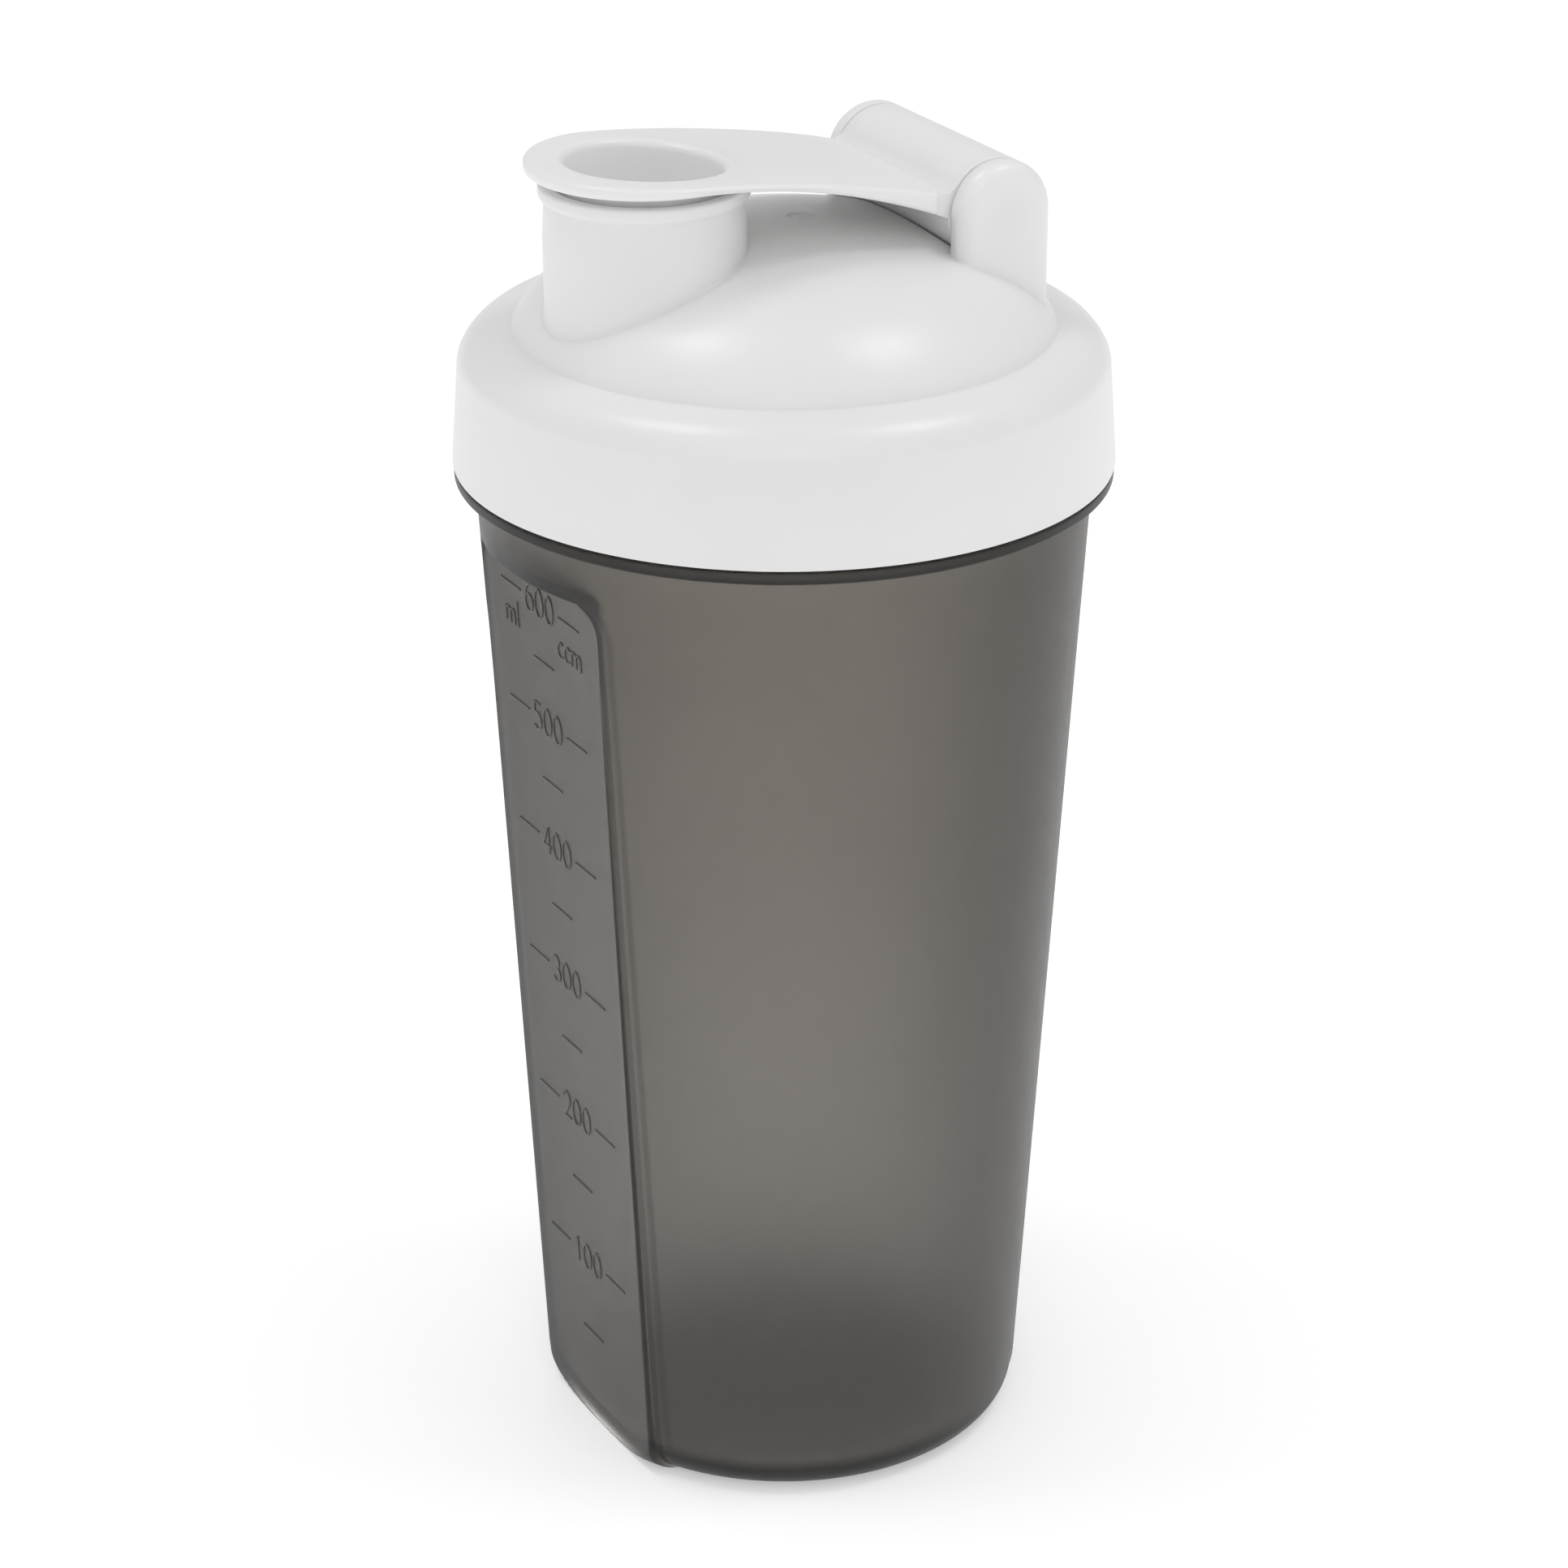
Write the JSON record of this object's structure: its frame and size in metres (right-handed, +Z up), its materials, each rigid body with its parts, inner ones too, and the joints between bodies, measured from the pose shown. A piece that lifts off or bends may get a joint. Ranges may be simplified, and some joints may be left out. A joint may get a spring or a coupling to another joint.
{
  "type": "protein shaker bottle",
  "caption": "Tapered shaker cup with a flat measuring panel, a strainer, a domed screw lid with a round spout and a hinged flip cap whose hollow plug closes the spout.",
  "frame": {"origin": "centre of the base on the surface it stands on", "axes": "+Z up along the cup's axis, -Y to the front where the spout and the measuring panel are, +Y to the hinge"},
  "size_m": [0.0948, 0.0948, 0.1998],
  "materials": {
    "smoke_plastic": "satin, translucent smoke grey",
    "scale_mark": "moulded lines",
    "strainer_plastic": "satin",
    "silicone": "matt",
    "white_plastic": "fine grained satin"
  },
  "bodies": {
    "cup": {"cup": "smoke_plastic", "cup_thread": "smoke_plastic", "measuring_scale": "scale_mark"},
    "strainer": {"strainer": "strainer_plastic"},
    "gasket": {"lid_gasket": "silicone"},
    "lid": {"lid_skirt": "white_plastic", "lid_dome": "white_plastic", "lid_thread": "white_plastic", "spout": "white_plastic", "hinge_lugs": "white_plastic"},
    "cap": {"flip_cap": "white_plastic", "spout_plug": "white_plastic"}
  },
  "joints": [
    {"name": "lid_lift", "type": "slide", "parent": "cup", "child": "gasket", "axis": [0, 0, 1], "range_m": [0, 0.036]},
    {"name": "lid_turn", "type": "hinge", "parent": "gasket", "child": "lid", "pos_m": [0, 0, 0.16], "axis": [0, 0, 1], "range_deg": [0, 1080]},
    {"name": "strainer_lift", "type": "slide", "parent": "cup", "child": "strainer", "axis": [0, 0, 1], "range_m": [0, 0.018]},
    {"name": "cap_open", "type": "hinge", "parent": "lid", "child": "cap", "pos_m": [0, 0.0247, 0.1897], "axis": [-1, 0, 0], "range_deg": [0, 170]}
  ],
  "couplings": [
    {"joint": "lid_lift", "follows": "lid_turn", "m_per_rad": 0.0019099},
    {"joint": "strainer_lift", "follows": "lid_turn", "m_per_rad": 0.00095492}
  ]
}
